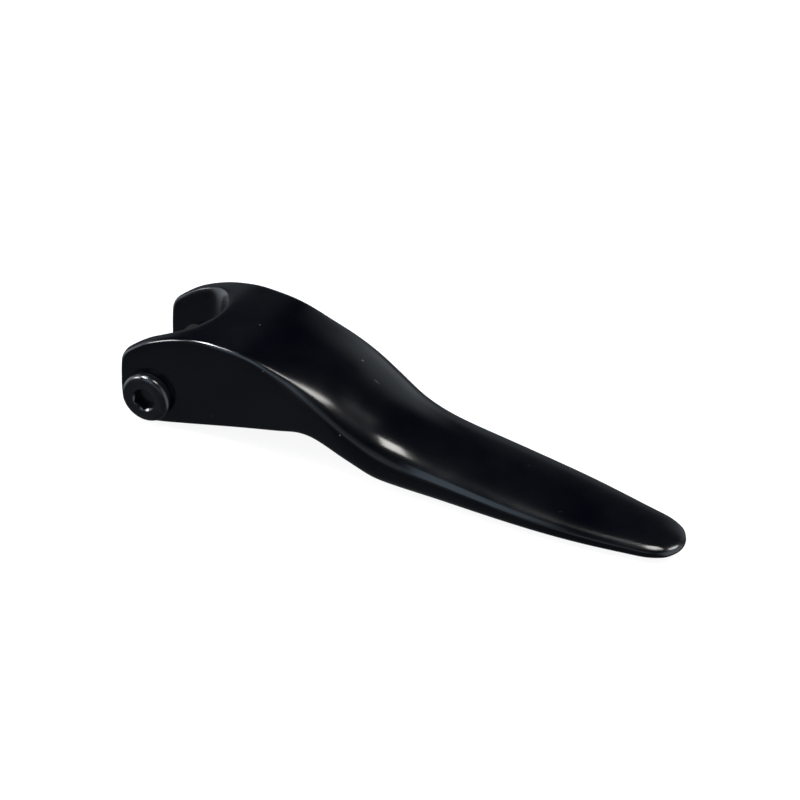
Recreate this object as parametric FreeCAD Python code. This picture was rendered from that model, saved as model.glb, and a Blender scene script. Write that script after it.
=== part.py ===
"""Forked pivot lever: a cast handle with a two-cheek fork that swings on a sleeve nut and screw.

Millimetres. Origin on the pivot axis, midway between the cheeks. +X runs to the handle's tip,
+Y along the pivot axis, +Z up with the lever lying on a table.
"""
import FreeCAD, Part
import math
import os

V = FreeCAD.Vector

# fork
cheekHalfWidth = 11.7        # outer faces of the cheeks
slotHalfWidth = 8.5          # the slot's end is a half circle about the pivot
cornerRadius = 6.1           # rounded front corner, concentric with the pivot
seatAngle = 15.0             # the underside flat rises this much towards the handle
seatEnd = 31.5               # where the underside turns down into the handle
flatLength = 29.0            # how far along X the flat itself is cut
flatRunout = 3.0             # radius at the end of that cut
flatSkim = 0.05              # depth that the cut takes off the cast surface

# handle
tipX = 104.1                 # end of the handle
tipStart = 96.5              # from here the plan outline is an ellipse
tipEdge = 1.9                # from here the thickness rounds off, measured back from the tip
sectionPitch = 4.0           # spacing of the loft's sections
loftStart = -8.0             # the loft starts ahead of the front face, which is cut flat
tipSections = 7
tipCut = 0.6                 # the last section stops short of the point by this part of a step
arcPoints = 5                # points that carry each arc of a section

# pivot
barrelRadius = 3.0
headRadius = 4.95
headHeight = 2.2
headRim = 0.9                # straight part of the head's side
headFace = 3.2               # radius of the head's flat face
socketFlats = 4.0
socketTurn = 30.0            # a corner of the socket points straight up
socketDepth = 1.6
screwRadius = 2.0            # M4 thread inside the sleeve
screwReach = 12.0            # length under the screw's head
threadRelief = 1.0           # the sleeve's bore runs on past the screw's end
endPlay = 0.05               # each head stands this far off its cheek
runningClearance = 0.05      # radial, barrel in bush
bushWall = 0.75
bushRadius = barrelRadius + runningClearance + bushWall

margin = 20.0                # cutting bodies reach this far beyond what they cut

# spine of the handle: place along X, then the value there
topLine = [(loftStart, 5.6), (-6, 7.7), (0, 12.3), (6, 14.8), (12, 15.9), (18, 15.8), (24, 14.8), (30, 13.4),
           (36, 11.2), (42, 8.2), (48, 5.3), (54, 3.5), (62, 2.3), (78, 0.1), (94, -1.6), (tipX, -2.2)]
bottomLine = [(34.5, 1.5), (38, -0.2), (42, -2.6), (48, -5.6), (54, -6.1), (70, -6.1), (86, -6.0),
              (tipX, -5.8)]
sideLine = [(loftStart, 11.7), (6, 11.7), (18, 11.6), (26, 11.75), (32, 12.1), (38, 12.15), (44, 11.6),
            (50, 10.8), (58, 10.2), (66, 10.0), (78, 9.4), (86, 8.5), (tipStart, 6.6), (tipX, 4.8)]
topRound = [(loftStart, 1.0), (20, 1.4), (34, 3.4), (44, 4.0), (tipX, 3.0)]
bottomRound = [(loftStart, 0.6), (28, 0.8), (36, 1.8), (48, 3.4), (tipX, 3.0)]
topCrown = [(loftStart, 0.5), (20, 0.6), (40, 1.2), (tipX, 1.0)]
bottomCrown = [(loftStart, 0.02), (30, 0.02), (36, 0.3), (50, 1.0), (tipX, 0.8)]

# what a thin section allows: roundings and crowns as parts of its height and half width
roundOfHeight = 0.34
roundOfHalf = 0.8
crownOfHeight = 0.11
crownOfHalf = 0.2


def smooth(points, x, startSlope=None):
    """Cubic curve through the points that never overshoots them."""
    slopes = [(b[1] - a[1]) / (b[0] - a[0]) for a, b in zip(points, points[1:])]
    tangents = [slopes[0] if startSlope is None else startSlope]
    tangents += [2 * a * b / (a + b) if a * b > 0 else 0 for a, b in zip(slopes, slopes[1:])] + [slopes[-1]]
    i = max(0, min(len(points) - 2, sum(p[0] <= x for p in points) - 1))
    (x0, y0), (x1, y1) = points[i], points[i + 1]
    h = x1 - x0
    t = (x - x0) / h
    return (y0 * (1 + 2 * t) * (1 - t) ** 2 + h * tangents[i] * t * (1 - t) ** 2
            + y1 * t * t * (3 - 2 * t) + h * tangents[i + 1] * t * t * (t - 1))


def underside(x):
    slope = math.tan(math.radians(seatAngle))
    seat = lambda at: at * slope - (cornerRadius + flatSkim) / math.cos(math.radians(seatAngle))
    if x <= seatEnd:
        return seat(x)
    return smooth([(seatEnd, seat(seatEnd))] + bottomLine, x, slope)


def sectionSizes(x):
    """Half width, top, bottom, corner radii and crowns of the section at x."""
    half, top, bottom = smooth(sideLine, x), smooth(topLine, x), underside(x)
    if x > tipStart:
        half = smooth(sideLine, tipStart) * math.sqrt(1 - ((x - tipStart) / (tipX - tipStart)) ** 2)
    if x > tipX - tipEdge:
        middle, deep = (top + bottom) / 2, (top - bottom) / 2
        deep *= math.sqrt(1 - ((x - tipX + tipEdge) / tipEdge) ** 2)
        top, bottom = middle + deep, middle - deep
    height = top - bottom
    mostRound = min(height * roundOfHeight, half * roundOfHalf)
    mostCrown = min(height * crownOfHeight, half * crownOfHalf)
    return (half, top, bottom, min(smooth(topRound, x), mostRound), min(smooth(bottomRound, x), mostRound),
            min(smooth(topCrown, x), mostCrown), min(smooth(bottomCrown, x), mostCrown))


def crownedCorner(half, apex, radius, crown, up):
    """Crown arc and corner arc of one half of a section, each as points from the middle to the side."""
    big = (half * half + crown * crown) / (2 * crown)
    centreZ = apex - up * big
    cornerY = half - radius
    cornerZ = centreZ + up * math.sqrt((big - radius) ** 2 - cornerY ** 2)
    lean = math.atan2(cornerY, abs(cornerZ - centreZ))
    steps = [i / (arcPoints - 1) for i in range(arcPoints)]
    crownArc = [(big * math.sin(lean * t), centreZ + up * big * math.cos(lean * t)) for t in steps]
    turns = [lean + (math.pi / 2 - lean) * t for t in steps]
    cornerArc = [(cornerY + radius * math.sin(a), cornerZ + up * radius * math.cos(a)) for a in turns]
    return crownArc, cornerArc


def sectionWire(x):
    half, top, bottom, topR, bottomR, topC, bottomC = sectionSizes(x)
    topCrownArc, topCorner = crownedCorner(half, top, topR, topC, 1)
    bottomCrownArc, bottomCorner = crownedCorner(half, bottom, bottomR, bottomC, -1)
    side = [topCorner[-1], bottomCorner[-1]]
    mirrored = lambda points: [(-y, z) for y, z in points]
    runs = [mirrored(topCrownArc)[:0:-1] + topCrownArc, topCorner, side, bottomCorner[::-1],
            bottomCrownArc[:0:-1] + mirrored(bottomCrownArc), mirrored(bottomCorner), mirrored(side)[::-1],
            mirrored(topCorner)[::-1]]
    edges = []
    for run in runs:
        curve = Part.BSplineCurve()
        last = len(run) - 1
        curve.interpolate(Points=[V(x, y, z) for y, z in run], Parameters=[i / last for i in range(last + 1)])
        edges.append(curve.toShape())
    return Part.Wire(edges)


def cylinderY(radius, y0, y1):
    return Part.makeCylinder(radius, y1 - y0, V(0, y0, 0), V(0, 1, 0))


def leverBody():
    straight = tipStart - loftStart
    count = round(straight / sectionPitch)
    places = [loftStart + straight * i / count for i in range(count + 1)]
    places += [tipStart + (tipX - tipStart) * math.sin(math.radians(90 * i / (tipSections + tipCut)))
               for i in range(1, tipSections + 1)]
    body = Part.makeLoft([sectionWire(x) for x in places], True, False)

    # cut the front face, the corner round the pivot and the underside flat in one pass
    onCorner = lambda turn: V(math.cos(math.radians(turn)), 0, math.sin(math.radians(turn))) * cornerRadius
    start, end = onCorner(180), onCorner(270 + seatAngle)
    outward = end / cornerRadius
    along = V(-outward.z, 0, outward.x)
    flatEnd = end + along * ((flatLength - end.x) / along.x)
    runoutCentre = flatEnd + outward * flatRunout
    runoutMiddle = runoutCentre + (along - outward) * (flatRunout * math.sqrt(0.5))
    runoutEnd = runoutCentre + along * flatRunout
    outline = [Part.Arc(start, onCorner(225 + seatAngle / 2), end).toShape(),
               Part.LineSegment(end, flatEnd).toShape(),
               Part.Arc(flatEnd, runoutMiddle, runoutEnd).toShape()]
    corners = [runoutEnd, runoutEnd + outward * margin, V(-margin, 0, -margin), V(-margin, 0, margin),
               V(-cornerRadius, 0, margin), start]
    outline += [Part.LineSegment(p, q).toShape() for p, q in zip(corners, corners[1:])]
    cutter = Part.Face(Part.Wire(outline)).extrude(V(0, 2 * margin, 0))
    cutter.translate(V(0, -margin, 0))
    body = body.cut(cutter)

    # slot, open to the front, top and bottom
    slot = Part.makeCylinder(slotHalfWidth, 2 * margin, V(0, 0, -margin))
    slot = slot.fuse(Part.makeBox(margin, 2 * slotHalfWidth, 2 * margin, V(-margin, -slotHalfWidth, -margin)))
    body = body.cut(slot)
    return body.cut(cylinderY(bushRadius, -margin, margin))


def buttonHead(side):
    """Domed head with a hexagon socket, its seat just outside the cheek on the given side."""
    seat = cheekHalfWidth + endPlay
    rim, edge = V(headRadius, seat + headRim, 0), V(headFace, seat + headHeight, 0)
    wide, deep = rim.x - edge.x, edge.y - rim.y
    domeRadius = (wide ** 2 + deep ** 2) / (2 * deep)        # tangent to the flat face
    half = math.atan2(wide, domeRadius - deep) / 2
    dome = edge + V(math.sin(half), math.cos(half) - 1, 0) * domeRadius
    outline = [Part.LineSegment(V(0, seat, 0), V(headRadius, seat, 0)).toShape(),
               Part.LineSegment(V(headRadius, seat, 0), rim).toShape(),
               Part.Arc(rim, dome, edge).toShape(),
               Part.LineSegment(edge, V(0, seat + headHeight, 0)).toShape(),
               Part.LineSegment(V(0, seat + headHeight, 0), V(0, seat, 0)).toShape()]
    head = Part.Face(Part.Wire(outline)).revolve(V(0, 0, 0), V(0, 1, 0), 360)
    corner = socketFlats / math.sqrt(3)
    turns = [math.radians(socketTurn + 60 * i) for i in range(7)]
    points = [V(corner * math.cos(a), seat + headHeight - socketDepth, corner * math.sin(a)) for a in turns]
    head = head.cut(Part.Face(Part.makePolygon(points)).extrude(V(0, margin, 0)))
    if side < 0:
        head = head.mirror(V(0, 0, 0), V(0, 1, 0))
    return head


def pivotBarrel():
    """Sleeve nut: far head and a bored shaft that crosses the fork."""
    seat = cheekHalfWidth + endPlay
    barrel = buttonHead(1).fuse(cylinderY(barrelRadius, -seat, seat))
    return barrel.cut(cylinderY(screwRadius, -margin, -seat + screwReach + threadRelief))


def pivotScrew():
    seat = cheekHalfWidth + endPlay
    return buttonHead(-1).fuse(cylinderY(screwRadius, -seat, -seat + screwReach))


def bush(side):
    """Plain bush pressed into one cheek, flush with both of its faces."""
    piece = cylinderY(bushRadius, slotHalfWidth, cheekHalfWidth)
    piece = piece.cut(cylinderY(barrelRadius + runningClearance, 0, margin))
    if side < 0:
        piece = piece.mirror(V(0, 0, 0), V(0, 1, 0))
    return piece


os.makedirs("parts", exist_ok=True)
pieces = {"lever_body": leverBody(), "pivot_barrel": pivotBarrel(), "pivot_screw": pivotScrew(),
          "near_bush": bush(-1), "far_bush": bush(1)}
for name, shape in pieces.items():
    shape.exportStep("parts/%s.step" % name)
    box = shape.BoundBox
    print(name, shape.isValid(), len(shape.Solids), round(shape.Volume, 1),
          [round(v, 2) for v in (box.XMin, box.XMax, box.YMin, box.YMax, box.ZMin, box.ZMax)])
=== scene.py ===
import bpy
import bmesh
import math
from mathutils import Matrix, Vector


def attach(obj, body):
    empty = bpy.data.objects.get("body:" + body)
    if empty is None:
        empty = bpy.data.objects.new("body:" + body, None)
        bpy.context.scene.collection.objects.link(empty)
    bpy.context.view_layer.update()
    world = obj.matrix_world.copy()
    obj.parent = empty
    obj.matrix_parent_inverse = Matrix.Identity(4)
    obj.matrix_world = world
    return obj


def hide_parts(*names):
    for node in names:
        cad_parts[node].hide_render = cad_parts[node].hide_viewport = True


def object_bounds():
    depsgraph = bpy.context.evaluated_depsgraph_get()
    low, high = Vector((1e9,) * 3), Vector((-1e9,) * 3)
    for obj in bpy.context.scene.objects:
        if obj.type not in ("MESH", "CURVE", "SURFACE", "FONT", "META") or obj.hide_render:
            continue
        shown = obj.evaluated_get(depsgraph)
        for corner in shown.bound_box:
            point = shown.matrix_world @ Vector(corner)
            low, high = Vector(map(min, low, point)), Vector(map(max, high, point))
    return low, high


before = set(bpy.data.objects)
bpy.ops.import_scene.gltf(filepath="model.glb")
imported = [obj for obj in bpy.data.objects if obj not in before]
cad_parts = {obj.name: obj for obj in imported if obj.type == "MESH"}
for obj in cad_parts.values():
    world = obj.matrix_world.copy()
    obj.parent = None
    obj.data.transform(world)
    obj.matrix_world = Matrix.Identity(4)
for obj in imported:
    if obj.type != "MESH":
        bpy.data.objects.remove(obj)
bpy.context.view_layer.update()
mm = 0.001
print("frame loaded:", sorted(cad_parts))


def onlySelect(piece):
    if bpy.context.object and bpy.context.object.mode != "OBJECT":
        bpy.ops.object.mode_set(mode="OBJECT")
    bpy.ops.object.select_all(action="DESELECT")
    piece.select_set(True)
    bpy.context.view_layer.objects.active = piece


def startEdit(piece, kind="VERT"):
    onlySelect(piece)
    bpy.ops.object.mode_set(mode="EDIT")
    bpy.ops.mesh.select_mode(type=kind)


def endEdit():
    bpy.ops.object.mode_set(mode="OBJECT")


def pickFaces(piece, test):
    shape = bmesh.from_edit_mesh(piece.data)
    for face in shape.faces:
        face.select = False
    for face in shape.faces:
        if test(face):
            face.select = True
    shape.select_flush_mode()
    bmesh.update_edit_mesh(piece.data)


def newPiece(name):
    piece = bpy.context.object
    piece.name = name
    piece.data.name = name
    return piece


def addModifier(piece, kind, **settings):
    onlySelect(piece)
    modifier = piece.modifiers.new(kind.title(), kind)
    for key, value in settings.items():
        setattr(modifier, key, value)
    bpy.ops.object.modifier_apply(modifier=modifier.name)


def cutWith(piece, cutter):
    addModifier(piece, "BOOLEAN", operation="DIFFERENCE", solver="EXACT", object=cutter)
    bpy.data.objects.remove(cutter)


def settle(piece):
    # place goes into the mesh, doubles merge and the faces point outwards
    onlySelect(piece)
    bpy.ops.object.transform_apply(location=True, rotation=True, scale=True)
    startEdit(piece)
    bpy.ops.mesh.select_all(action="SELECT")
    bpy.ops.mesh.remove_doubles(threshold=0.002 * mm)
    bpy.ops.mesh.normals_make_consistent(inside=False)
    endEdit()


def smoothShade(piece, angle):
    onlySelect(piece)
    bpy.ops.object.shade_smooth_by_angle(angle=math.radians(angle))


def curveThrough(points, x):
    # cubic through the points that never overshoots them
    slopes = [(b[1] - a[1]) / (b[0] - a[0]) for a, b in zip(points, points[1:])]
    tangents = [slopes[0]]
    tangents += [2 * a * b / (a + b) if a * b > 0 else 0 for a, b in zip(slopes, slopes[1:])] + [slopes[-1]]
    i = max(0, min(len(points) - 2, sum(p[0] <= x for p in points) - 1))
    (x0, y0), (x1, y1) = points[i], points[i + 1]
    h = x1 - x0
    t = min(1, max(0, (x - x0) / h))
    return (y0 * (1 + 2 * t) * (1 - t) ** 2 + h * tangents[i] * t * (1 - t) ** 2
            + y1 * t * t * (3 - 2 * t) + h * tangents[i + 1] * t * t * (t - 1))


viewing = {"azimuth": 23.34, "elevation": 35.14, "roll": 3.86, "distance": 0.7, "lens": 170.4,
           "target": (0.0462, 0, 0.0079)}


def makeCamera():
    az, el, roll = (math.radians(viewing[key]) for key in ("azimuth", "elevation", "roll"))
    back = Vector((math.sin(az) * math.cos(el), -math.cos(az) * math.cos(el), math.sin(el)))
    right = Vector((math.cos(az), math.sin(az), 0))
    up = back.cross(right)
    tilted = right * math.cos(roll) + up * math.sin(roll)
    bpy.ops.object.camera_add(location=(0, 0, 0))
    camera = bpy.context.object
    camera.name = "camera"
    place = Matrix((tilted, back.cross(tilted), back)).transposed().to_4x4()
    place.translation = Vector(viewing["target"]) + back * viewing["distance"]
    camera.matrix_world = place
    camera.data.lens = viewing["lens"]
    camera.data.sensor_width = 36
    camera.data.clip_start = 0.01
    bpy.context.scene.camera = camera


makeCamera()
print("camera set")


lever = {
    "cheekHalf": 11.7, "slotHalf": 8.5, "corner": 6.1, "seatAngle": 15.0, "seatEnd": 31.5,
    "rows": (0, 0.36, 0.7264, 0.863, 1.0),                # across the width, as parts of the half width
    "forkColumns": (-6.7, -5.4, -3.4, -1.6, 0),           # where the cheeks are straight
    "rimTurns": (75, 60, 45),                             # degrees round the slot's end, from the cheek
    "sideColumns": (2.6, 5.2, 7.9),                       # the outer side beside those turns
    "bodyColumns": (11.3, 14.5, 18, 21.5, 25, 28, 31, 34, 37, 40, 43, 46, 49.5, 53.5, 58, 63.5, 69, 75, 81,
                    87, 92),
    "rimSwell": 1.011,                                    # the smoothed rim falls this far inside its points
    "rimBeside": 0.5, "rimAhead": (1.7, 0.6),             # how far points round the slot's end are drawn in
    "rimReach": 1.2,                                      # this close to the slot an edge is the slot's own
    "tipStart": 96.5, "tipEnd": 104.25, "tipTurns": (90, 67.5, 45),
    "tipSwell": 1.01, "tipRow": (0.42, 0.88),             # the last row but one, along and across the tip
    "ringWidth": 0.8, "rimRound": 1.8,
    "cornerTurns": (196, 285), "cornerEnd": 1.6,          # the round front corner, in degrees about the pivot
    "cornerLead": 12, "cornerBlend": 4,                   # its inner level starts earlier, and catches up
    "top": ((-8, 5.6), (-6, 7.7), (0, 12.3), (6, 14.8), (12, 15.9), (18, 15.8), (24, 14.85), (30, 13.5),
            (36, 11.4), (42, 8.2), (48, 5.2), (54, 3.5), (62, 2.3), (78, 0.1), (94, -1.6), (104.1, -2.2)),
    "bottom": ((34.5, 1.5), (38, -0.2), (42, -2.6), (48, -5.7), (54, -6.1), (70, -6.1), (86, -6.0),
               (104.1, -5.8)),
    "side": ((-8, 11.7), (6, 11.7), (18, 11.6), (26, 11.75), (32, 12.1), (38, 12.15), (44, 11.6), (50, 10.8),
             (58, 10.2), (66, 10.0), (78, 9.4), (86, 8.5), (96.5, 6.6)),
    "topRound": ((-8, 1.0), (14, 1.1), (24, 1.6), (34, 2.4), (104.1, 2.4)),
    "bottomRound": ((-8, 0.7), (26, 0.8), (34, 1.5), (104.1, 1.5)),
    "topCrown": ((-8, 0.5), (14, 0.6), (34, 1.0), (104.1, 1.0)),
    "bottomCrown": ((-8, 0.0), (30, 0.0), (36, 0.3), (104.1, 0.3)),
    "mostRound": 0.42, "mostHold": 0.28,                  # what a thin section allows, as parts of its height
    # the fork's boxy section turns into the handle's round one between these places along X
    "topTurns": (20, 40), "bottomTurns": (32, 52), "topSquareness": 2.3, "bottomSquareness": 2.6,
    # how far round the section a row lies: part of the half width, degrees up from the side
    "rowTurns": ((0, 90), (0.36, 69), (0.7264, 52), (0.863, 41), (0.92, 31), (1, 30)),
    "edgeTurn": 19, "sideTurn": 7, "roundSwell": 1.015,
    "frontRound": 0.33, "frontSwell": 0.5, "smoothing": 2, "smoothAngle": 40,
    "boreRadius": 3.8, "boreSegments": 64, "boreLength": 40,
}


def bottomLine(x):
    slope = math.tan(math.radians(lever["seatAngle"]))
    seat = lambda at: at * slope - lever["corner"] / math.cos(math.radians(lever["seatAngle"]))
    if x <= lever["seatEnd"]:
        return seat(x)
    before, start = ((at, seat(at)) for at in (lever["seatEnd"] - 6, lever["seatEnd"]))
    return curveThrough((before, start) + lever["bottom"], x)


def cagePoint(line, x, reach=3.0):
    # a smoothed surface falls a little inside its cage where it bends, so the cage stands out by as much
    return line(x) - (line(x + reach) + line(x - reach) - 2 * line(x)) / 6


def topAt(x):
    return cagePoint(lambda at: curveThrough(lever["top"], at), x)


def bottomAt(x):
    return cagePoint(bottomLine, x)


def halfWidthAt(x):
    return curveThrough(lever["side"], min(x, lever["tipStart"]))


def planPlace(i, row, columns):
    # where grid point (column i, row) of one half goes, seen from above, in millimetres
    rows, rim = lever["rows"], len(lever["rows"]) - 3
    straight, slotEnd = len(lever["forkColumns"]), len(lever["forkColumns"]) + len(lever["rimTurns"]) - 1
    x, y = columns[i], rows[row] * halfWidthAt(columns[i])
    if i < straight and row == rim:
        y = lever["slotHalf"]
    if straight <= i <= slotEnd and row == rim + 1:
        x -= lever["rimBeside"]
    if straight <= i <= slotEnd and row <= rim:
        turn = lever["rimTurns"][i - straight] if row == rim else lever["rimTurns"][-1] * row / rim
        if i < slotEnd and row < rim:
            return 0, y                                  # inside the slot, deleted below
        x = lever["slotHalf"] * lever["rimSwell"] * math.cos(math.radians(turn))
        y = lever["slotHalf"] * lever["rimSwell"] * math.sin(math.radians(turn))
    if slotEnd < i <= slotEnd + 2 and row <= rim:
        x -= lever["rimAhead"][i - slotEnd - 1] * (row / rim) ** 2
    tipLong, tipWide = lever["tipEnd"] - lever["tipStart"], halfWidthAt(lever["tipStart"]) * lever["tipSwell"]
    fromEnd = len(columns) - 1 - i
    if fromEnd == 0 or (fromEnd == 1 and row == len(rows) - 1):
        turn = lever["tipTurns"][1] if fromEnd else lever["tipTurns"][2] * rows[row]
        x = lever["tipStart"] + tipLong * math.cos(math.radians(turn))
        y = tipWide * math.sin(math.radians(turn))
    elif fromEnd == 1:
        along, across = lever["tipRow"]
        x, y = lever["tipStart"] + tipLong * along, tipWide * across * rows[row]
    return x, y


def planSheet():
    # flat outline of the lever seen from above, as a grid of quads with the slot left out
    rows = lever["rows"]
    columns = lever["forkColumns"] + lever["sideColumns"] + lever["bodyColumns"] + (lever["tipStart"], 0, 0)
    last = len(columns) - 1
    bpy.ops.mesh.primitive_grid_add(x_subdivisions=last, y_subdivisions=2 * len(rows) - 2, size=2)
    sheet = newPiece("lever")
    startEdit(sheet)
    shape = bmesh.from_edit_mesh(sheet.data)
    for vert in shape.verts:
        i, j = round((vert.co.x + 1) / 2 * last), round(vert.co.y * (len(rows) - 1))
        x, y = planPlace(i, abs(j), columns)
        vert.co = Vector((x, math.copysign(y, j), 0)) * mm
    bmesh.update_edit_mesh(sheet.data)
    edge = (lever["slotHalf"] + 0.15) * mm
    pickFaces(sheet, lambda face: all(v.co.x < edge and abs(v.co.y) < edge for v in face.verts))
    bpy.ops.mesh.delete(type="FACE")
    # a narrow ring follows every edge of the outline, which keeps the rounded edges even
    bpy.ops.mesh.select_all(action="SELECT")
    bpy.ops.mesh.inset(thickness=lever["ringWidth"] * mm, use_boundary=True, use_even_offset=True)
    # four levels: underside, two that hold the rounded edges, top
    bpy.ops.mesh.select_all(action="SELECT")
    for level in range(3):
        bpy.ops.mesh.extrude_region_move(TRANSFORM_OT_translate={"value": (0, 0, 1 * mm)})
    endEdit()
    settle(sheet)
    return sheet


def roundPlace(x, y, level, edge):
    # where a cage point goes on the handle's rounded section, a superellipse
    start = min(x, lever["tipStart"])
    long, wide = (x - start) / (lever["tipEnd"] - lever["tipStart"]), y / halfWidthAt(x)
    away = math.hypot(long, wide)
    turn = curveThrough(lever["rowTurns"], away)
    if edge:
        turn = lever["edgeTurn"] if level in (0, 3) else lever["sideTurn"]
    power = 2 / lever["topSquareness" if level > 1 else "bottomSquareness"]
    out = math.cos(math.radians(turn)) ** power * lever["roundSwell"] / max(away, 0.001)
    up = math.sin(math.radians(turn)) ** power * lever["roundSwell"] * (1 if level > 1 else -1)
    x, y = start + (x - start) * out, y * out
    top, bottom = topAt(x), bottomAt(x)
    return Vector((x, y, (top + bottom) / 2 + (top - bottom) / 2 * up))


def roundedEdge(radius, support):
    # how far a cage corner is pulled in, so that the smoothed edge has this radius
    return max(0, (1.757 * radius - support) / 4)


def shapeLever(cage):
    startEdit(cage)
    shape = bmesh.from_edit_mesh(cage.data)
    levels = {vert: round(vert.co.z / mm) for vert in shape.verts}
    plan = {vert: (vert.co.x / mm, vert.co.y / mm) for vert in shape.verts}
    steep = lambda vert: any(levels[e.other_vert(vert)] != levels[vert] for e in vert.link_edges)
    outline = {vert for vert in shape.verts if steep(vert)}
    first, last = lever["cornerTurns"]
    for vert in shape.verts:
        level, (x, y) = levels[vert], plan[vert]
        beside = max(x, abs(y)) < lever["slotHalf"] + lever["rimReach"]
        half = max(halfWidthAt(x), abs(y))
        crown = (y / half) ** 2
        top = topAt(x) - curveThrough(lever["topCrown"], x) * crown
        bottom = bottomAt(x) + curveThrough(lever["bottomCrown"], x) * crown
        height = top - bottom
        mostRound = height * lever["mostRound"]
        topRound = lever["rimRound"] if beside else min(curveThrough(lever["topRound"], x), mostRound)
        bottomRound = min(curveThrough(lever["bottomRound"], x), mostRound)
        holdTop, holdBottom = (min(size, height * lever["mostHold"]) for size in (topRound, bottomRound))
        z = (bottom, bottom + holdBottom, top - holdTop, top)[level]
        if vert in outline and level in (0, 3):
            radius, hold = (bottomRound, holdBottom) if level == 0 else (topRound, holdTop)
            z += roundedEdge(radius, hold) * (1 if level == 0 else -1)
            inner = [e.other_vert(vert) for e in vert.link_edges if e.other_vert(vert) not in outline]
            if inner:
                ix, iy = plan[inner[0]]
                away = Vector((ix - plan[vert][0], iy - plan[vert][1], 0)).normalized()
                pull = roundedEdge(radius, lever["ringWidth"])
                x, y = x + away.x * pull, y + away.y * pull
        if level < 2 and plan[vert][0] < lever["cornerEnd"]:
            # the fork's lower front corner runs round the pivot
            part = (plan[vert][0] - lever["forkColumns"][0]) / (lever["cornerEnd"] - lever["forkColumns"][0])
            turn = first + (last - first) * part
            radius = lever["corner"] + lever["frontSwell"] * (1 - part)
            if level == 1:
                caught = min(1, part * lever["cornerBlend"])
                radius -= holdBottom * caught
                turn -= lever["cornerLead"] * (1 - caught)
            elif vert in outline:
                radius -= roundedEdge(bottomRound, holdBottom)
            x, z = radius * math.cos(math.radians(turn)), radius * math.sin(math.radians(turn))
        if plan[vert][0] < lever["forkColumns"][0] + 0.05 and vert in outline:
            # the upright edges of the fork's front are rounded too
            if not lever["slotHalf"] + 0.1 < abs(y) < lever["cheekHalf"] - 0.5:
                middle = (lever["slotHalf"] + lever["cheekHalf"]) / 2
                x += lever["frontRound"]
                y -= math.copysign(lever["frontRound"], abs(y) - middle) * math.copysign(1, y)
        start, end = lever["topTurns" if level > 1 else "bottomTurns"]
        part = min(1, max(0, (plan[vert][0] - start) / (end - start)))
        place = Vector((x, y, z))
        if part > 0:
            rounded = roundPlace(*plan[vert], level, vert in outline)
            place = place.lerp(rounded, part * part * (3 - 2 * part))
        vert.co = place * mm
    bmesh.update_edit_mesh(cage.data)
    endEdit()


def makeLever():
    body = planSheet()
    shapeLever(body)
    settle(body)
    addModifier(body, "SUBSURF", levels=lever["smoothing"], render_levels=lever["smoothing"])
    bpy.ops.mesh.primitive_cylinder_add(vertices=lever["boreSegments"], radius=lever["boreRadius"] * mm,
                                        depth=lever["boreLength"] * mm, rotation=(math.pi / 2, 0, 0))
    cutWith(body, newPiece("boreCutter"))
    smoothShade(body, lever["smoothAngle"])
    return body


leverPiece = makeLever()
print("lever body made:", len(leverPiece.data.polygons), "faces")


pivot = {
    "seat": 11.75,                                        # each head's underside, from the mid-plane
    "segments": 96,
    "head": ((4.75, 0), (4.92, 0.15), (4.95, 0.7), (4.95, 1.1), (4.9, 1.38), (4.76, 1.64), (4.54, 1.85),
             (4.24, 2.0), (3.9, 2.08), (3.3, 2.15), (2.8, 2.18), (2.3, 2.2)),     # radius, height up the head
    "headHeight": 2.2, "socketFlats": 4.0, "socketDepth": 1.6,
    "mouthReach": 0.8, "mouthWider": 0.05,                # the coned mouth is cut by a 45 degree cone
    "smoothAngle": 30,
    "screw": ((1.6, -12.0), (2.0, -11.6), (2.0, -0.4), (2.3, 0)),
    "barrel": ((2.7, -23.5), (3.0, -23.2), (3.0, -0.3), (3.25, 0)),
    "boreRadius": 2.0, "boreDepth": 13.0,
}


def turned(name, profile):
    # a turned piece: a disc drawn out along +Z, one step of the profile after the other
    radius, height = profile[0]
    bpy.ops.mesh.primitive_circle_add(vertices=pivot["segments"], radius=radius * mm, fill_type="NGON",
                                      location=(0, 0, height * mm))
    piece = newPiece(name)
    startEdit(piece, "FACE")
    bpy.ops.mesh.select_all(action="SELECT")
    for newRadius, newHeight in profile[1:]:
        bpy.ops.mesh.extrude_region_move(TRANSFORM_OT_translate={"value": (0, 0, (newHeight - height) * mm)})
        grow = newRadius / radius
        bpy.ops.transform.resize(value=(grow, grow, 1), center_override=(0, 0, newHeight * mm))
        radius, height = newRadius, newHeight
    endEdit()
    settle(piece)
    return piece


def cutSocket(piece):
    # hexagon socket with a coned mouth
    top = pivot["headHeight"]
    corner = pivot["socketFlats"] / math.sqrt(3)
    bpy.ops.mesh.primitive_cylinder_add(vertices=6, radius=corner * mm, depth=2 * pivot["socketDepth"] * mm,
                                        location=(0, 0, top * mm))
    cutWith(piece, newPiece("socketCutter"))
    wide, reach = corner + pivot["mouthWider"], pivot["mouthReach"]
    bpy.ops.mesh.primitive_cone_add(vertices=pivot["segments"], radius1=(wide - reach) * mm,
                                    radius2=(wide + reach) * mm, depth=2 * reach * mm,
                                    location=(0, 0, top * mm))
    cutWith(piece, newPiece("mouthCutter"))


def stand(piece, side):
    # turns a piece made along +Z so that its head faces out on one side of the fork
    onlySelect(piece)
    piece.rotation_euler = (math.radians(-90 * side), 0, 0)
    piece.location = (0, side * pivot["seat"] * mm, 0)
    settle(piece)
    smoothShade(piece, pivot["smoothAngle"])


def makeScrew():
    screw = turned("screw", pivot["screw"] + pivot["head"])
    cutSocket(screw)
    stand(screw, -1)
    return screw


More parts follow.
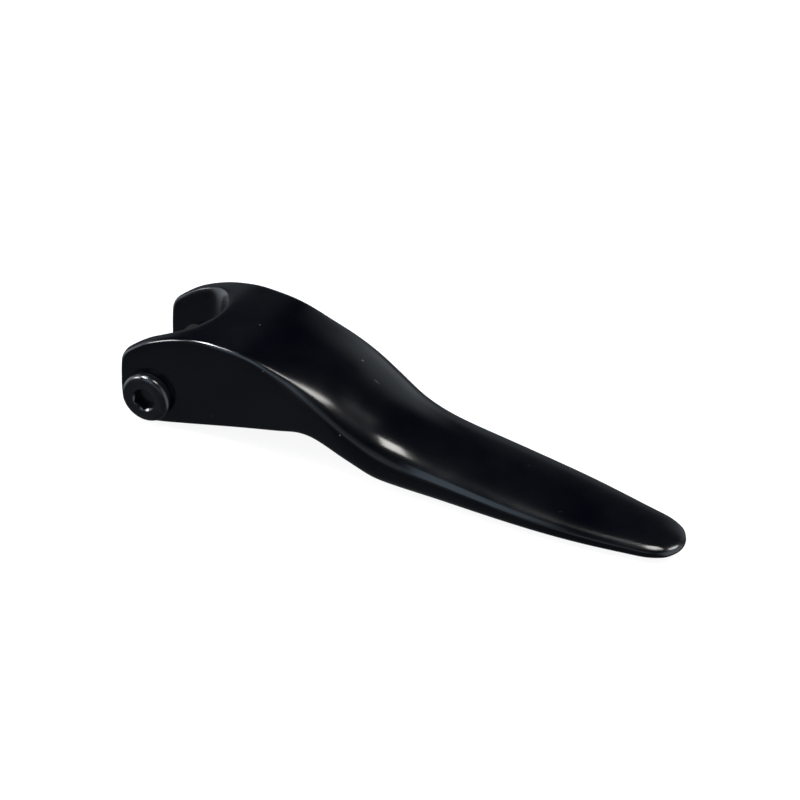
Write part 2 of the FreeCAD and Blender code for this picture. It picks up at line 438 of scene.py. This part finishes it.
def makeBarrel():
    barrel = turned("sleeveNut", pivot["barrel"] + pivot["head"])
    cutSocket(barrel)
    end = pivot["barrel"][0][1]
    bpy.ops.mesh.primitive_cylinder_add(vertices=pivot["segments"], radius=pivot["boreRadius"] * mm,
                                        depth=2 * pivot["boreDepth"] * mm, location=(0, 0, end * mm))
    cutWith(barrel, newPiece("boreCutter"))
    stand(barrel, 1)
    return barrel


screwPiece = makeScrew()
barrelPiece = makeBarrel()
print("pivot hardware made")


class Signal:
    # a node's output that can be used in sums
    def __init__(self, finish, socket):
        self.finish, self.socket = finish, socket

    def combine(self, operation, first, second):
        return self.finish.node("Math", {"operation": operation}, {0: first, 1: second})

    def __add__(self, other):
        return self.combine("ADD", self, other)

    def __mul__(self, other):
        return self.combine("MULTIPLY", self, other)

    __radd__ = __add__
    __rmul__ = __mul__


class Finish:
    def __init__(self, name, tree=None):
        if not tree:
            self.material = bpy.data.materials.new(name)
            self.material.use_nodes = True
            tree = self.material.node_tree
        self.tree = tree
        self.tree.nodes.clear()

    def node(self, kind, settings=None, inputs=None, output=0):
        made = self.tree.nodes.new("ShaderNode" + kind)
        settings = dict(settings or {})
        stops = settings.pop("stops", None)
        for key, value in settings.items():
            setattr(made, key, value)
        if stops:
            ramp = made.color_ramp
            while len(ramp.elements) < len(stops):
                ramp.elements.new(1)
            for element, (place, value) in zip(ramp.elements, stops):
                element.position = place
                element.color = (value, value, value, 1)
        for key, value in (inputs or {}).items():
            if isinstance(value, Signal):
                self.tree.links.new(value.socket, made.inputs[key])
            else:
                made.inputs[key].default_value = value
        return Signal(self, made.outputs[output]) if made.outputs else made

    def place(self):
        return self.node("TexCoord", output=3)

    def moved(self, location):
        return self.node("Mapping", inputs={0: self.place(), 1: location})

    def stretched(self, scale):
        return self.node("Mapping", inputs={0: self.place(), 3: scale})

    def noise(self, scale, detail=2.0, rough=0.5, place=None):
        return self.node("TexNoise", {}, {"Vector": place or self.place(), "Scale": scale, "Detail": detail,
                                          "Roughness": rough})

    def ramp(self, value, *stops):
        return self.node("ValToRGB", {"stops": stops}, {0: value})

    def blend(self, factor, first, second):
        return self.node("Mix", {"data_type": "RGBA"}, {0: factor, 6: first, 7: second}, output=2)

    def bump(self, height, depth, normal=None):
        inputs = {"Height": height, "Strength": 1.0, "Distance": depth * mm}
        if normal:
            inputs["Normal"] = normal
        return self.node("Bump", {}, inputs)

    def finish(self, **sockets):
        inputs = {key.replace("_", " "): value for key, value in sockets.items()}
        shader = self.node("BsdfPrincipled", {}, inputs)
        self.node("OutputMaterial", {}, {0: shader})
        return self.material


coating = {
    "colour": (0.0001, 0.0002, 0.0008, 1), "haze": (0.0005, 0.0008, 0.0014, 1),
    "dust": (0.07, 0.072, 0.08, 1), "dustShare": 0.5, "scratchShare": 0.35,
    "roughness": 0.13, "cloudy": 0.04, "smudge": 0.1, "dusty": 0.25, "specular": 0.5,
    "cloudSize": 55, "smudgeSize": 38, "smudgePlace": (0.013, 0.02, 0.0), "speckSize": 230.0, "keepSize": 130,
    "scratchSizes": (90, 900, 420), "scratchKeepSize": 35, "peelSize": 700, "peelDepth": 0.003,
}


def coatingFinish():
    # semi-gloss black coating with a faint orange peel, hazy patches, dust specks and a few fine scratches
    f = Finish("leverCoating")
    cloudy = f.noise(coating["cloudSize"], 3, 0.55)
    smudge = f.ramp(f.noise(coating["smudgeSize"], 4, 0.6, f.moved(coating["smudgePlace"])),
                    (0.0, 0), (0.42, 0), (0.75, 1))
    cells = f.node("TexVoronoi", {}, {"Vector": f.place(), "Scale": coating["speckSize"], "Randomness": 1.0})
    keep = f.ramp(f.noise(coating["keepSize"], 1), (0.0, 0), (0.48, 0), (0.52, 1))
    speck = f.ramp(cells, (0.0, 1), (0.035, 1), (0.06, 0)) * keep
    streaks = f.noise(1.0, 2, 0.6, f.stretched(coating["scratchSizes"]))
    scratched = f.ramp(f.noise(coating["scratchKeepSize"], 1), (0, 0), (0.5, 0), (0.6, 1))
    scratch = f.ramp(streaks, (0.0, 0), (0.735, 0), (0.765, 1)) * scratched
    dust = speck + scratch * coating["scratchShare"]
    colour = f.blend(f.ramp(cloudy, (0.35, 0), (0.7, 1)), coating["colour"], coating["haze"])
    colour = f.blend(dust * coating["dustShare"], colour, coating["dust"])
    roughness = coating["roughness"] + f.ramp(cloudy, (0.3, 0), (0.75, 1)) * coating["cloudy"]
    roughness = roughness + smudge * coating["smudge"] + dust * coating["dusty"]
    normal = f.bump(f.noise(coating["peelSize"], 2, 0.5), coating["peelDepth"])
    return f.finish(Base_Color=colour, Roughness=roughness, Normal=normal, IOR=1.45,
                    Specular_IOR_Level=coating["specular"])


blackening = {
    "colour": (0.0012, 0.0014, 0.002, 1), "rubbed": (0.006, 0.0064, 0.0075, 1), "rubbedShare": 0.6,
    "roughness": 0.18, "rubbedRough": 0.08, "grainRough": 0.05, "specular": 0.55,
    "rubbedSize": 160, "grainSize": 2600, "grainDepth": 0.0015,
}


def hardwareFinish():
    # black-finished steel with a fine grain and rubbed, lighter patches
    f = Finish("blackSteel")
    grain = f.noise(blackening["grainSize"], 2, 0.6)
    rubbed = f.ramp(f.noise(blackening["rubbedSize"], 4, 0.6), (0.45, 0), (0.75, 1))
    colour = f.blend(rubbed * blackening["rubbedShare"], blackening["colour"], blackening["rubbed"])
    roughness = blackening["roughness"] + rubbed * blackening["rubbedRough"]
    roughness = roughness + grain * blackening["grainRough"]
    return f.finish(Base_Color=colour, Roughness=roughness, Normal=f.bump(grain, blackening["grainDepth"]),
                    Specular_IOR_Level=blackening["specular"])


bushing = {
    "dark": (0.004, 0.004, 0.0045, 1), "pale": (0.008, 0.008, 0.0085, 1),
    "roughness": 0.5, "mottleRough": 0.15, "mottleSize": 450, "mottleDepth": 0.01,
}


def bushFinish():
    # moulded bearing polymer, matt and slightly mottled
    f = Finish("bearingPolymer")
    mottle = f.noise(bushing["mottleSize"], 4, 0.65)
    colour = f.blend(f.ramp(mottle, (0.35, 0), (0.65, 1)), bushing["dark"], bushing["pale"])
    return f.finish(Base_Color=colour, Roughness=bushing["roughness"] + mottle * bushing["mottleRough"],
                    Normal=f.bump(mottle, bushing["mottleDepth"]))


def dress(piece, material):
    piece.data.materials.clear()
    piece.data.materials.append(material)


blackSteel = hardwareFinish()
polymer = bushFinish()
dress(leverPiece, coatingFinish())
dress(screwPiece, blackSteel)
dress(barrelPiece, blackSteel)
for name in ("near_bush", "far_bush"):
    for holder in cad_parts[name].material_slots:
        holder.material = polymer
print("finishes made")


for piece, body, node, slot in ((leverPiece, "lever", "lever_body", "lever_coating"),
                                (screwPiece, "pivot", "pivot_screw", "screw_finish"),
                                (barrelPiece, "pivot", "pivot_barrel", "screw_finish")):
    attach(piece, body)
    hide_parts(node)


studio = {
    "floorSize": 4.0, "floorColour": (0.12, 0.12, 0.12, 1), "floorGlow": 0.9,
    "lights": {
        # place, where it points, width, height, power, colour
        "right": ((0.265, -0.05, 0.8), (0.045, 0, 0), 0.26, 0.23, 3.7, (1, 0.98, 0.95)),
        "left": ((-0.36, -0.16, 0.7), (0, 0, 0), 0.34, 0.2, 14.0, (0.92, 0.97, 1)),
        "front": ((-0.14, -0.66, 0.46), (0.03, 0, 0), 0.35, 0.6, 1.2, (0.65, 0.82, 1)),
        "low": ((-0.62, -0.3, 0.36), (0, 0, 0), 0.26, 0.26, 5.0, (1, 1, 1)),
        "tip": ((0.6, 0.3, 0.56), (0.1, 0, 0), 0.25, 0.25, 3.4, (1, 1, 1)),
    },
    # brightness of the room in reflections: from straight below to straight above, and from left to right
    "room": ((0.0, 0.1), (0.22, 0.1), (0.36, 0.07), (0.44, 0.12), (0.55, 0.19), (0.62, 0.2), (0.68, 0.04),
             (0.73, 0.004), (1.0, 0.004)),
    "roomEnds": ((0.0, 1.0), (0.04, 0.6), (0.08, 0.01), (0.16, 0.0), (0.34, 0.03), (0.42, 0.0), (0.8, 0.0),
                 (0.88, 0.6), (1.0, 1.0)),
    "horizon": ((0.48, 0.0), (0.54, 1.0), (0.74, 1.0), (0.8, 0.0)),
    "horizonEnds": ((0.42, 0.0), (0.53, 1.0), (0.66, 1.0), (0.8, 0.0)),
    "endGlow": 1.8, "horizonGlow": 0.5,
    "roomTint": (0.84, 0.92, 1.0, 1),
}


def makeFloor():
    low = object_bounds()[0]
    bpy.ops.mesh.primitive_plane_add(size=studio["floorSize"], location=(0, 0, low[2]))
    floor = newPiece("floor")
    settle(floor)
    f = Finish("paperWhite")
    dress(floor, f.finish(Base_Color=studio["floorColour"], Roughness=0.9, Specular_IOR_Level=0.1,
                          Emission_Color=(1, 1, 1, 1), Emission_Strength=studio["floorGlow"]))
    floor.visible_glossy = False


def makeLights():
    for name, (place, target, wide, tall, power, colour) in studio["lights"].items():
        bpy.ops.object.light_add(type="AREA", location=place)
        light = bpy.context.object
        light.name = name
        light.rotation_euler = (Vector(target) - Vector(place)).to_track_quat("-Z", "Y").to_euler()
        light.data.shape = "RECTANGLE"
        light.data.size, light.data.size_y = wide, tall
        light.data.energy = power
        light.data.color = colour
        light.visible_camera = False


def makeWorld():
    # white room, and in reflections a dim one with a pale horizon
    world = bpy.data.worlds.new("studio")
    bpy.context.scene.world = world
    world.use_nodes = True
    f = Finish("studio", world.node_tree)
    across = f.node("SeparateXYZ", {}, {0: f.node("TexCoord")})
    upward = f.node("SeparateXYZ", {}, {0: f.node("TexCoord")}, output=2)
    room = f.ramp(upward * 0.5 + 0.5, *studio["room"])
    room = room + f.ramp(across * 0.5 + 0.5, *studio["roomEnds"]) * studio["endGlow"]
    horizon = f.ramp(upward * 0.5 + 0.5, *studio["horizon"])
    horizon = horizon * f.ramp(across * 0.5 + 0.5, *studio["horizonEnds"])
    room = room + horizon * studio["horizonGlow"]
    seen = f.node("Background", {}, {"Color": (1, 1, 1, 1), "Strength": 1.0})
    dim = f.node("Background", {}, {"Color": studio["roomTint"], "Strength": room})
    glossy = f.node("LightPath", output="Is Glossy Ray")
    f.node("OutputWorld", {}, {0: f.node("MixShader", {}, {0: glossy, 1: seen, 2: dim})})


makeFloor()
makeLights()
makeWorld()
bpy.context.scene.view_settings.view_transform = "Standard"
print("studio made")
